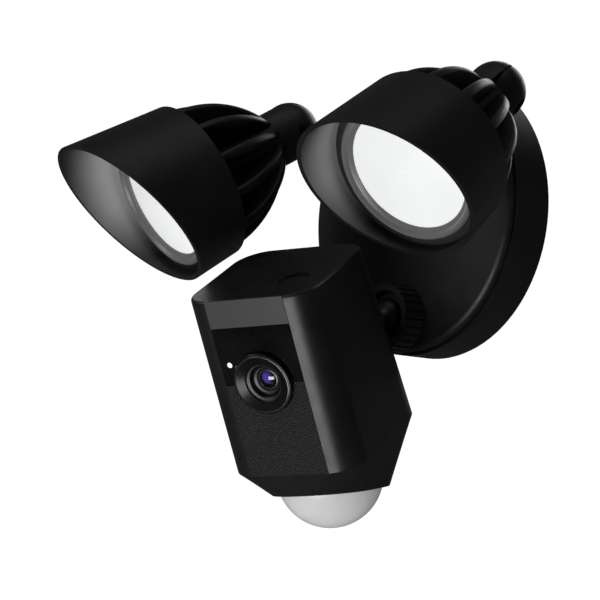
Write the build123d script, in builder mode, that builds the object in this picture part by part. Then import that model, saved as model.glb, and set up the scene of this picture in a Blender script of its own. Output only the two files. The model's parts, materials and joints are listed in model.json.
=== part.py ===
from build123d import *
from math import asin, atan2, cos, degrees, radians, sin, sqrt, tan
import os

# Floodlight security camera for an outside wall: a round base over the wall box, a swivel camera
# with a motion sensor under it, and two lights on jointed arms. Millimetres, +Z up. The wall is the
# plane Y = 0, the front faces -Y, and the origin is the centre of the base's back face.

os.makedirs("parts", exist_ok=True)

# ---------------------------------------------------------------- clearances and shared sizes
turn_gap = 0.3          # between curved faces that move past each other
shaft_gap = 0.06        # radial clearance of a pin or spindle in its hole
seat_gap = 0.1          # between pieces that are screwed together and share a curved face
screw_r = 1.5
screw_head_r = 2.9
screw_head_t = 1.8

# ---------------------------------------------------------------- base
base_r = 75.0           # rim of the base against the wall
base_depth = 22.5       # wall plane to the seam
base_wall = 3.0
back_t = 2.0            # back web and its flange
gasket_t = 1.5
gasket_w = 4.5
web_half_width = 30.0   # back web, which carries the electronics
web_hole_r = 5.5        # cable inlet in the web
web_hole_z = -22.0
cable_r = 3.4
grommet_r = web_hole_r + 1.9
grommet_lip_t = 1.2
bracket_length = 104.0
bracket_width = 24.0
bracket_t = 2.0
slot_spacing = 88.9     # wall box screws
slot_length = 12.0
slot_r = 2.6
base_screw_x = 30.0     # screws that hold the web to the bracket

seal_t = 1.2
cover_r = 73.5
cover_t = 4.0
cover_wall = 2.5
cover_edge = 3.5        # rounding of the cover's front edge
cover_front = base_depth + seal_t + cover_t
lip_w = 6.5             # inner lip of the rim, which takes the seal and the cover screws
cover_screw_circle = 68.0

board_size = (84.0, 38.0, 1.6)
board_lift = 4.5        # web to board

# ---------------------------------------------------------------- camera mount, a ball joint
camera_ball_out = 6.0   # ball centre in front of the cover
ball_r = 10.5
ball_neck_r = 5.2
seat_wall = 3.0
cup_wall = 1.3
ring_wall = 2.3
seat_front = 3.4        # how far the seat closes past the ball's middle
seat_back = ball_r + 0.6
cup_front = 2.8
ring_lip = 2.4
ring_lip_open = 13.4
ring_front = 7.0
ring_ribs = 26

seat_in = ball_r + turn_gap
seat_out = seat_in + seat_wall
cup_in = seat_out + turn_gap
cup_out = cup_in + cup_wall
ring_in = cup_out + turn_gap
ring_out = ring_in + ring_wall
cup_back = seat_back + turn_gap
camera_ball_z = cup_out + 2 * seat_gap + base_wall - base_r

# ---------------------------------------------------------------- camera head, in its own frame
camera_pan = 21.5       # turned outward
camera_pitch = 27.1     # looking down
camera_roll = 6.6
camera_ball_at = (15.3, 110.4, -1.9)   # ball centre from the middle of the face: right, back, up
case_width = 73.0
case_depth = 72.0       # at the top
case_depth_low = 81.0   # at the bottom, where the case meets its skirt
case_corner = 16.0
case_wall = 2.2
case_top = 54.0
case_bottom = -40.0
top_edge = 1.6
plate_width = 44.4      # face plate, window and grille
plate_gap = 0.15
plate_t = 2.7
window_t = 1.4
window_top = 39.7
window_bottom = 9.3
lens_z = 10.2
bezel_r = 16.0
bezel_rim_r = 14.9
bezel_inner_r = 10.2
bezel_proud = 3.0
cone_depth = 5.4
pupil_r = 4.4

skirt_rim = (54.0, 61.0, 24.0)         # width, depth and corner of the lower rim
skirt_rim_centre = (33.8, -64.0)       # back, up
skirt_slope = 19.6                     # the rim drops towards the back
rim_plate_t = 2.0
dome_r = 26.0
dome_height = 19.0
dome_wall = 1.5
dome_spigot = 2.5

stud_foot_at = (6.0, -2.0)             # right, up, on the back of the case
stud_foot_r = 13.0
foot_plate_t = 3.0

button_at = (17.0, 24.0)               # right, back, on the top of the case
button_r = 6.4
dish_r = 8.2
dish_depth = 0.8
button_t = 3.0
button_travel = 1.0
button_gap = 0.2

# ---------------------------------------------------------------- lights, the same part twice
shade_r = 44.3          # outside, at the lens
shade_flare = 4.3       # degrees
shade_wall = 2.4
shade_back = 22.0       # lens to the back edge
visor_top = 36.0        # lens to the far edge, above
visor_bottom = 3.6      # and below
floor_front = -1.0      # the floor inside the shade that carries the lens
floor_t = 3.0
lens_r = 31.8
lens_flange_r = 34.0
lens_crown = 5.0
bezel_ring_r = 37.4
bezel_ring_t = 3.2
lamp_board_r = 34.0
lamp_board_t = 1.6
flange_t = 6.0
flange_front = -10.0
fin_count = 12
fin_t = 5.4
fin_edge = 2.2          # rounding of a fin's edge

fin_core_r = 20.0
fin_back = 70.0
neck_r = 15.2
fin_foot_r = neck_r - 4
knuckle_back = 84.0     # lens to the knuckle's centre
neck_spigot_r = 8.5
neck_spigot = 10.0
neck_flange_t = 1.6
knuckle_split = 0.75    # half the space between the two knuckle halves
bolt_r = 2.5
bolt_head_r = 4.6
bolt_head_t = 3.6
washer_r = 10.0

# ---------------------------------------------------------------- arms and turrets of the lights
elbow_at = (52.0, 36.1)                # arm pivot, out from the middle and up
elbow_out = 8.3                        # arm pivot in front of the cover
arm_reach = 28.6                       # arm pivot to knuckle
arm_eye_r = 4.8
arm_eye_t = 9.0
arm_thin_r = arm_eye_t / 2 - seat_gap
arm_thick_r = 8.0                      # arm radius at the knuckle
pin_r = 2.0
turret_r = 10.4
turret_t = 2.6
turret_foot_gap = 0.35
spindle_r = 4.6
spindle_bore = 2.6
ear_t = 2.6
ear_r = 4.9
turret_ribs = 24
nut_r = 6.8
nut_t = 4.0

# where each light stands: arm direction and light direction as (outward, down) in degrees
right_arm = (79.5, -49.2)
right_aim = (10.2, 36.0)
left_arm = (13.0, -7.8)
left_aim = (12.8, 31.9)


def direction(outward, down):
    """A unit vector that leaves the wall, turned towards +X and pitched down."""
    level = cos(radians(down))
    return Vector(sin(radians(outward)) * level, -cos(radians(outward)) * level, -sin(radians(down)))


def front(distance):
    """A plane parallel to the wall, facing away from it."""
    return Plane(origin=(0, -distance, 0), x_dir=(1, 0, 0), z_dir=(0, -1, 0))


def crown(radius, height, at):
    """Height of a spherical cap of a given rim radius and height, at a distance from its axis."""
    ball = (radius ** 2 + height ** 2) / (2 * height)
    return sqrt(ball ** 2 - at ** 2) - (ball - height)


def save(piece, name):
    piece.part.label = name
    export_step(piece.part, f"parts/{name}.step")


# ================================================================ base
with BuildPart() as wall_gasket:
    with BuildSketch(front(0)):
        Circle(base_r - 0.6)
        Circle(base_r - 0.6 - gasket_w, mode=Mode.SUBTRACT)
    extrude(amount=gasket_t)
save(wall_gasket, "wall_gasket")

with BuildPart() as mounting_bracket:
    with BuildSketch(front(0)):
        RectangleRounded(bracket_length, bracket_width, bracket_width / 4)
        with GridLocations(slot_spacing, 0, 2, 1):
            SlotOverall(slot_length, 2 * slot_r, mode=Mode.SUBTRACT)
        with GridLocations(2 * base_screw_x, 0, 2, 1):
            Circle(screw_r, mode=Mode.SUBTRACT)
    extrude(amount=bracket_t)
save(mounting_bracket, "mounting_bracket")

web_back = bracket_t
web_front = web_back + back_t
board_back = web_front + board_lift
turret_places = Locations((elbow_at[0], elbow_at[1]), (-elbow_at[0], elbow_at[1]))
standoffs = GridLocations(board_size[0] - 8, board_size[1] - 8, 2, 2)

with BuildPart() as base_housing:
    with BuildSketch(front(gasket_t)):
        Circle(base_r)
        Circle(base_r - base_wall, mode=Mode.SUBTRACT)
    extrude(amount=base_depth - gasket_t)
    fillet(base_housing.edges().filter_by(GeomType.CIRCLE).sort_by(Axis.Y)[-1], 0.8)
    with BuildSketch(front(web_back)):
        Circle(base_r - base_wall / 2)
        with Locations((0, web_half_width + base_r), (0, -web_half_width - base_r)):
            Rectangle(2 * base_r, 2 * base_r, mode=Mode.SUBTRACT)
        with Locations((0, web_hole_z)):
            Circle(web_hole_r, mode=Mode.SUBTRACT)
        with GridLocations(2 * base_screw_x, 0, 2, 1):
            Circle(screw_r + seat_gap, mode=Mode.SUBTRACT)
    extrude(amount=back_t)
    with BuildSketch(front(base_depth - back_t)):
        Circle(base_r - base_wall / 2)
        Circle(base_r - base_wall - lip_w, mode=Mode.SUBTRACT)
        with PolarLocations(cover_screw_circle, 4, 45):
            Circle(screw_r + seat_gap, mode=Mode.SUBTRACT)
        with Locations((0, camera_ball_z)):
            Circle(cup_out + seat_gap, mode=Mode.SUBTRACT)
        with turret_places:
            Circle(nut_r + turn_gap, mode=Mode.SUBTRACT)
    extrude(amount=back_t)
    with BuildSketch(front(web_front)):
        with standoffs:
            Circle(3.2)
    extrude(amount=board_lift)
save(base_housing, "base_housing")

with BuildPart() as wire_grommet:
    with BuildSketch(Plane(origin=(0, -web_back, web_hole_z), x_dir=(1, 0, 0), z_dir=(0, 0, 1))):
        with BuildLine():
            Polyline((cable_r, -back_t - grommet_lip_t), (grommet_r, -back_t - grommet_lip_t),
                     (grommet_r, -back_t), (web_hole_r, -back_t), (web_hole_r, 0), (grommet_r, 0),
                     (grommet_r, grommet_lip_t), (cable_r, grommet_lip_t), close=True)
        make_face()
    revolve(axis=Axis((0, 0, web_hole_z), (0, 1, 0)))
save(wire_grommet, "wire_grommet")

with BuildPart() as bracket_screws:
    with BuildSketch(front(0)):
        with GridLocations(2 * base_screw_x, 0, 2, 1):
            Circle(screw_r)
    extrude(amount=web_front)
    with BuildSketch(front(web_front)):
        with GridLocations(2 * base_screw_x, 0, 2, 1):
            Circle(screw_head_r)
    extrude(amount=screw_head_t)
save(bracket_screws, "bracket_screws")

with BuildPart() as driver_board:
    with BuildSketch(front(board_back)):
        RectangleRounded(board_size[0], board_size[1], 2)
        with standoffs:
            Circle(screw_r, mode=Mode.SUBTRACT)
    extrude(amount=board_size[2])
save(driver_board, "driver_board")

driver_front = board_back + board_size[2]
with BuildPart() as driver_components:
    with BuildSketch(front(driver_front)):
        with Locations((-4, 0)):
            RectangleRounded(22, 20, 1.5)
        with Locations((-24, 6)):
            Circle(5)
        with Locations((-24, -7)):
            Circle(4)
    extrude(amount=9)
save(driver_components, "driver_components")

with BuildPart() as terminal_block:
    with BuildSketch(front(driver_front)):
        with Locations((21, 0)):
            Rectangle(10, 26)
    extrude(amount=8)
    with BuildSketch(front(driver_front + 8)):
        with Locations((21, 0)):
            with GridLocations(0, 8.4, 1, 3):
                Circle(2.6)
    extrude(amount=-3, mode=Mode.SUBTRACT)
save(terminal_block, "terminal_block")

with BuildPart() as cover_seal:
    with BuildSketch(front(base_depth)):
        Circle(cover_r - 1.4)
        Circle(cover_r - 1.4 - 2.0, mode=Mode.SUBTRACT)
        with Locations((0, camera_ball_z)):
            Circle(cup_out + seat_gap, mode=Mode.SUBTRACT)
    extrude(amount=seal_t)
save(cover_seal, "cover_seal")

# the camera's ball joint, along the boss on the cover
camera_ball = Vector(0, -cover_front - camera_ball_out, camera_ball_z)


def camera_boss(distance):
    """A plane across the camera boss, measured from the ball's centre towards the front."""
    return Plane(origin=camera_ball + Vector(0, -distance, 0), x_dir=(1, 0, 0), z_dir=(0, -1, 0))


with BuildPart() as base_cover:
    with BuildSketch(front(base_depth + seal_t)):
        Circle(cover_r)
    extrude(amount=cover_t)
    fillet(base_cover.edges().filter_by(GeomType.CIRCLE).sort_by(Axis.Y)[0], cover_edge)
    with BuildSketch(front(base_depth + seal_t)):
        Circle(cover_r - 5.2)
        with turret_places:
            Circle(nut_r + turn_gap)
    extrude(amount=cover_t - cover_wall, mode=Mode.SUBTRACT)
    with BuildSketch(front(base_depth + seal_t)):
        with PolarLocations(cover_screw_circle, 4, 45):
            Circle(screw_r)
    extrude(amount=cover_t - 1.2, mode=Mode.SUBTRACT)
    with BuildSketch(camera_boss(-cup_back - back_t)):
        Circle(cup_out)
    extrude(amount=cup_back + back_t + cup_front)
    with BuildSketch(camera_boss(-cup_back)):
        Circle(cup_in)
    extrude(amount=cup_back + cup_front, mode=Mode.SUBTRACT)
    with BuildSketch(camera_boss(-cup_back - back_t)):
        Circle(3)
    extrude(amount=back_t, mode=Mode.SUBTRACT)
    with BuildSketch(front(base_depth + seal_t)):
        with turret_places:
            Circle(spindle_r + shaft_gap)
    extrude(amount=cover_t, mode=Mode.SUBTRACT)
save(base_cover, "base_cover")

with BuildPart() as cover_screws:
    with BuildSketch(front(base_depth - back_t)):
        with PolarLocations(cover_screw_circle, 4, 45):
            Circle(screw_r)
    extrude(amount=back_t + seal_t + cover_t - 1.2)
    with BuildSketch(front(base_depth - back_t)):
        with PolarLocations(cover_screw_circle, 4, 45):
            Circle(screw_head_r)
    extrude(amount=-screw_head_t)
save(cover_screws, "cover_screws")

with BuildPart() as camera_ball_seat:
    with BuildSketch(camera_boss(-seat_back)):
        Circle(seat_out)
        Circle(4.5, mode=Mode.SUBTRACT)
    extrude(amount=seat_back + seat_front)
    add(Location(camera_ball) * Sphere(seat_in, mode=Mode.PRIVATE), mode=Mode.SUBTRACT)
save(camera_ball_seat, "camera_ball_seat")

ring_back = -camera_ball_out + 0.5
rib_r = 0.9
with BuildPart() as camera_lock_ring:
    with BuildSketch(camera_boss(ring_back)):
        Circle(ring_out)
        with PolarLocations(ring_out, ring_ribs):
            Circle(rib_r, mode=Mode.SUBTRACT)
    extrude(amount=ring_front - ring_back)
    with BuildSketch(camera_boss(ring_back)):
        Circle(ring_in)
    extrude(amount=ring_front - ring_lip - ring_back, mode=Mode.SUBTRACT)
    with BuildSketch(camera_boss(ring_front)):
        Circle(ring_lip_open)
    extrude(amount=-ring_lip, mode=Mode.SUBTRACT)
    chamfer(camera_lock_ring.edges().filter_by(GeomType.CIRCLE).group_by(Axis.Y)[0].sort_by(SortBy.LENGTH)[-1], 0.8)
save(camera_lock_ring, "camera_lock_ring")

# ================================================================ camera head
look = direction(camera_pan, camera_pitch)
level_x = Vector(cos(radians(camera_pan)), sin(radians(camera_pan)), 0)
level_z = level_x.cross(look * -1)
head_x = level_x * cos(radians(camera_roll)) + level_z * sin(radians(camera_roll))
head_z = head_x.cross(look * -1)
back = look * -1
face_centre = (camera_ball - head_x * camera_ball_at[0] - back * camera_ball_at[1]
               - head_z * camera_ball_at[2])


def head_point(right, deep, up):
    """A point of the camera head, from the middle of its face."""
    return face_centre + head_x * right + back * deep + head_z * up


def level(up):
    """A plane across the camera head; its sketches run right and back."""
    return Plane(origin=head_point(0, 0, up), x_dir=head_x, z_dir=head_z)


def face(deep):
    """A plane parallel to the face, looking forward; its sketches run right and up."""
    return Plane(origin=head_point(0, deep, 0), x_dir=head_x, z_dir=look)


slope = radians(skirt_slope)
rim_normal = back * -sin(slope) - head_z * cos(slope)
rim_point = head_point(0, skirt_rim_centre[0], skirt_rim_centre[1])


def rim(out):
    """A plane parallel to the lower rim, facing out of it; its sketches run right and forward."""
    return Plane(origin=rim_point + rim_normal * out, x_dir=head_x, z_dir=rim_normal)


# the back of the case leans: the case is deeper at the bottom
case_lean = atan2(case_depth_low - case_depth, case_top - case_bottom)
rear_normal = back * cos(case_lean) + head_z * sin(case_lean)
rear_wall = case_wall * cos(case_lean)
foot_depth = case_depth_low - (stud_foot_at[1] - case_bottom) * tan(case_lean)
foot_point = head_point(stud_foot_at[0], foot_depth, stud_foot_at[1])


def rear(out):
    """A plane parallel to the back of the case, facing out of it, centred on the stud's foot."""
    return Plane(origin=foot_point + rear_normal * out, x_dir=head_x, z_dir=rear_normal)


def case_outline(up, inset):
    """The sketch of the case's outline at a height, drawn inside it by an inset."""
    depth = case_depth_low - (up - case_bottom) * tan(case_lean)
    with BuildSketch(level(up)) as outline:
        with Locations((0, depth / 2)):
            RectangleRounded(case_width - 2 * inset, depth - 2 * inset, case_corner - inset)
    return outline.sketch


with BuildPart() as camera_shell:
    loft([case_outline(case_bottom, 0), case_outline(case_top, 0)], ruled=True)
    fillet(camera_shell.faces().sort_by(Axis(face_centre, head_z))[-1].edges(), top_edge)
    loft([case_outline(case_bottom, case_wall), case_outline(case_top - case_wall, case_wall)], ruled=True,
         mode=Mode.SUBTRACT)
    with BuildSketch(level(case_bottom)):
        with Locations((0, plate_t / 2)):
            Rectangle(plate_width + 2 * plate_gap, plate_t + plate_gap)
    extrude(amount=case_top - case_bottom, mode=Mode.SUBTRACT)
    with BuildSketch(level(case_top - case_wall - 2)):
        with Locations(button_at):
            Circle(button_r + 2.4)
    extrude(amount=3)
    with BuildSketch(level(case_top - dish_depth)):
        with Locations(button_at):
            Circle(dish_r)
    extrude(amount=dish_depth, mode=Mode.SUBTRACT)
    with BuildSketch(level(case_top - case_wall - 2)):
        with Locations(button_at):
            Circle(button_r + button_gap)
    extrude(amount=case_wall + 2, mode=Mode.SUBTRACT)
    with BuildSketch(rear(0)):
        Circle(3.2)
    extrude(amount=-case_wall, mode=Mode.SUBTRACT)
save(camera_shell, "camera_shell")

with BuildPart() as camera_skirt:
    with BuildSketch(rim(0)) as outside:
        RectangleRounded(skirt_rim[0], skirt_rim[1], skirt_rim[2])
    loft([case_outline(case_bottom, 0), outside.sketch], ruled=True)
    with BuildSketch(rim(-rim_plate_t)) as inside:
        RectangleRounded(skirt_rim[0] - 3, skirt_rim[1] - 3, skirt_rim[2] - 1.5)
    loft([case_outline(case_bottom, case_wall), inside.sketch], ruled=True, mode=Mode.SUBTRACT)
    with BuildSketch(rim(-rim_plate_t)):
        Circle(dome_r - dome_wall + seat_gap)
    extrude(amount=rim_plate_t, mode=Mode.SUBTRACT)
save(camera_skirt, "camera_skirt")

# the motion sensor's dome is a spherical cap with a spigot that plugs into the skirt
cap_r = (dome_r ** 2 + dome_height ** 2) / (2 * dome_height)
cap_low = dome_height - cap_r
inner_rim = sqrt((cap_r - dome_wall) ** 2 - cap_low ** 2)
with BuildPart() as pir_dome:
    with BuildSketch(Plane(origin=rim_point, x_dir=head_x, z_dir=head_x.cross(rim_normal))):
        with BuildLine():
            l1 = ThreePointArc((dome_r, 0), (cap_r * cos(radians(40)), cap_low + cap_r * sin(radians(40))),
                               (0, dome_height))
            l2 = Line(l1 @ 1, (0, dome_height - dome_wall))
            l3 = ThreePointArc(l2 @ 1, ((cap_r - dome_wall) * cos(radians(40)),
                                        cap_low + (cap_r - dome_wall) * sin(radians(40))), (inner_rim, 0))
            l4 = Polyline(l3 @ 1, (inner_rim - 1, 0), (inner_rim - 1, -dome_spigot),
                          (dome_r - dome_wall, -dome_spigot), (dome_r - dome_wall, 0), (dome_r, 0))
        make_face()
    revolve(axis=Axis(rim_point, rim_normal))
save(pir_dome, "pir_dome")

with BuildPart() as pir_sensor:
    with BuildSketch(rim(-1)):
        Circle(4.6)
    extrude(amount=5)
    with BuildSketch(rim(-3)):
        Circle(inner_rim - 1.6)
    extrude(amount=2)
save(pir_sensor, "pir_sensor")

with BuildPart() as faceplate:
    with BuildSketch(face(window_t)):
        with Locations((0, (case_top + case_bottom) / 2)):
            Rectangle(plate_width, case_top - case_bottom)
        with Locations((0, lens_z)):
            Circle(bezel_r + seat_gap, mode=Mode.SUBTRACT)
    extrude(amount=window_t - plate_t)
    with BuildSketch(face(0)):
        with Locations((0, (case_top + window_top) / 2)):
            Rectangle(plate_width, case_top - window_top)
    extrude(amount=-window_t)
save(faceplate, "faceplate")

with BuildPart() as window_panel:
    with BuildSketch(face(0)):
        with Locations((0, (window_top + window_bottom) / 2)):
            Rectangle(plate_width, window_top - window_bottom)
        with Locations((0, lens_z)):
            Circle(bezel_r + seat_gap, mode=Mode.SUBTRACT)
        with Locations((0, window_top - 3.4)):
            Circle(0.6, mode=Mode.SUBTRACT)
        with Locations((-17.2, 20.2)):
            Circle(1.5, mode=Mode.SUBTRACT)
    extrude(amount=-window_t)
save(window_panel, "window_panel")

with BuildPart() as speaker_grille:
    with BuildSketch(face(0)):
        with Locations((0, (window_bottom + case_bottom) / 2)):
            Rectangle(plate_width, window_bottom - case_bottom)
        with Locations((0, lens_z)):
            Circle(bezel_r + seat_gap, mode=Mode.SUBTRACT)
    extrude(amount=-window_t)
save(speaker_grille, "speaker_grille")

with BuildPart() as light_sensor:
    with BuildSketch(face(0.3)):
        with Locations((-17.2, 20.2)):
            Circle(1.4)
    extrude(amount=-window_t + 0.3)
save(light_sensor, "light_sensor")

# pieces of the lens are turned about its axis; sketches run outward and forward
lens_centre = head_point(0, 0, lens_z)
lens_section = Plane(origin=lens_centre, x_dir=head_x, z_dir=head_x.cross(look))
lens_axis = Axis(lens_centre, look)

with BuildPart() as lens_bezel:
    with BuildSketch(lens_section):
        with BuildLine():
            Polyline((bezel_inner_r, -plate_t), (bezel_r, -plate_t), (bezel_r, bezel_proud - 0.9),
                     (bezel_r - 0.5, bezel_proud - 0.15), (bezel_rim_r, bezel_proud), (bezel_rim_r - 0.6, bezel_proud),
                     (bezel_inner_r, 1.3), close=True)
        make_face()
    revolve(axis=lens_axis)
save(lens_bezel, "lens_bezel")

with BuildPart() as lens_cone:
    with BuildSketch(lens_section):
        with BuildLine():
            Polyline((pupil_r, 1.2 - cone_depth), (pupil_r, 0.3 - cone_depth), (bezel_inner_r - seat_gap, 1.2),
                     (bezel_inner_r - seat_gap, -plate_t), (pupil_r + 2.2, -plate_t - 1.5),
                     (pupil_r + 2.2, 1.2 - cone_depth - 1.2), (pupil_r, 1.2 - cone_depth - 1.2), close=True)
        make_face()
    revolve(axis=lens_axis)
save(lens_cone, "lens_cone")

glass_r = pupil_r - seat_gap
glass_back = -1 - cone_depth
with BuildPart() as lens_glass:
    with BuildSketch(lens_section):
        with BuildLine():
            g1 = Line((0, glass_back), (glass_r, glass_back))
            g2 = Line(g1 @ 1, (glass_r, glass_back + 1))
            g3 = ThreePointArc(g2 @ 1, (glass_r / 2, glass_back + 1 + crown(glass_r, 1.5, glass_r / 2)),
                               (0, glass_back + 2.5))
            Line(g3 @ 1, g1 @ 0)
        make_face()
    revolve(axis=lens_axis)
save(lens_glass, "lens_glass")

barrel_front = cone_depth + 1.4
with BuildPart() as lens_barrel:
    with BuildSketch(face(barrel_front)):
        with Locations((0, lens_z)):
            Circle(8)
    extrude(amount=-14)
save(lens_barrel, "lens_barrel")

board_deep = barrel_front + 14
with BuildPart() as main_board:
    with BuildSketch(face(board_deep)):
        with Locations((0, 8)):
            RectangleRounded(56, 66, 2)
    extrude(amount=-1.6)
save(main_board, "main_board")

with BuildPart() as infrared_lamps:
    with BuildSketch(face(plate_t + 0.4)):
        with Locations((-15, 33), (15, 33)):
            Circle(2.6)
    extrude(amount=-4)
save(infrared_lamps, "infrared_lamps")

with BuildPart() as speaker_driver:
    with BuildSketch(face(plate_t + 0.4)):
        with Locations((0, -20)):
            Circle(14)
    extrude(amount=-4)
    with BuildSketch(face(plate_t + 4.4)):
        with Locations((0, -20)):
            Circle(9)
    extrude(amount=-7)
save(speaker_driver, "speaker_driver")

# setup button: a cap with a lip under the top wall, over a tact switch on its bracket
cap_under = case_top - dish_depth - button_t
with BuildPart() as setup_button:
    with BuildSketch(level(cap_under)):
        with Locations(button_at):
            Circle(button_r)
    extrude(amount=button_t)
    fillet(setup_button.faces().sort_by(Axis(face_centre, head_z))[-1].edges(), 0.4)
    with BuildSketch(level(cap_under - 2.4)):
        with Locations(button_at):
            Circle(button_r + 1.2)
    extrude(amount=1.2)
    with BuildSketch(level(cap_under - 1.2)):
        with Locations(button_at):
            Circle(button_r - 1)
    extrude(amount=1.2)
save(setup_button, "setup_button")

with BuildPart() as button_switch:
    with BuildSketch(level(cap_under - 2.4 - button_travel - 0.2)):
        with Locations(button_at):
            Circle(2)
    extrude(amount=-2)
    with BuildSketch(level(cap_under - 4.4 - button_travel - 0.2)):
        with Locations((button_at[0], button_at[1] + 3)):
            Rectangle(16, 14)
    extrude(amount=-2)
save(button_switch, "button_switch")

# the ball stud: a ball, a slim neck through the lock ring and a bell that meets the case
stud_run = foot_point - camera_ball
stud_length = stud_run.length
stud_dir = stud_run.normalized()
stud_side = stud_dir.cross(head_z).normalized()
bell_start = 14.0
bell_end = stud_length + 6
with BuildPart() as camera_ball_stud:
    with BuildSketch(Plane(origin=camera_ball, x_dir=stud_side, z_dir=stud_side.cross(stud_dir))):
        with BuildLine():
            n1 = Line((0, 0), (ball_neck_r, 0))
            n2 = Line(n1 @ 1, (ball_neck_r, bell_start))
            n3 = ThreePointArc(n2 @ 1, (ball_neck_r + 1.5, (bell_start + stud_length) / 2),
                               (stud_foot_r - 2.0, stud_length - 6))
            n4 = Line(n3 @ 1, (stud_foot_r, bell_end))
            n5 = Line(n4 @ 1, (0, bell_end))
            Line(n5 @ 1, n1 @ 0)
        make_face()
    revolve(axis=Axis(camera_ball, stud_dir))
    add(Location(camera_ball) * Sphere(ball_r, mode=Mode.PRIVATE))
    split(bisect_by=rear(0), keep=Keep.TOP)
    with BuildSketch(rear(0)):
        Circle(stud_foot_r + 3)
    extrude(amount=foot_plate_t)
save(camera_ball_stud, "camera_ball_stud")

with BuildPart() as case_screws:
    with BuildSketch(rear(-rear_wall)):
        with Locations((-9, -9), (9, 9)):
            Circle(screw_head_r)
    extrude(amount=-screw_head_t)
save(case_screws, "case_screws")


# ================================================================ lights
def shade_outer(along):
    """Outside radius of the shade at a distance in front of the lens."""
    return shade_r + along * tan(radians(shade_flare))


fin_top = shade_outer(-shade_back) - 2.6
flange_back = flange_front - flange_t

with BuildPart() as fin:
    with BuildSketch(Plane.XZ):
        with BuildLine():
            f1 = Line((fin_foot_r, flange_back), (fin_top, flange_back))
            f2 = Line(f1 @ 1, (fin_top, flange_back - 6))
            f3 = ThreePointArc(f2 @ 1, (fin_top * 0.78, -51), (neck_r - 0.2, -fin_back))
            f4 = Line(f3 @ 1, (fin_foot_r, -fin_back))
            Line(f4 @ 1, f1 @ 0)
        make_face()
    extrude(amount=fin_t / 2, both=True)
    rims = fin.edges().filter_by(GeomType.CIRCLE) + fin.edges().filter_by(Axis.Z).group_by(Axis.X)[-1]
    fillet(rims, fin_edge)


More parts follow.
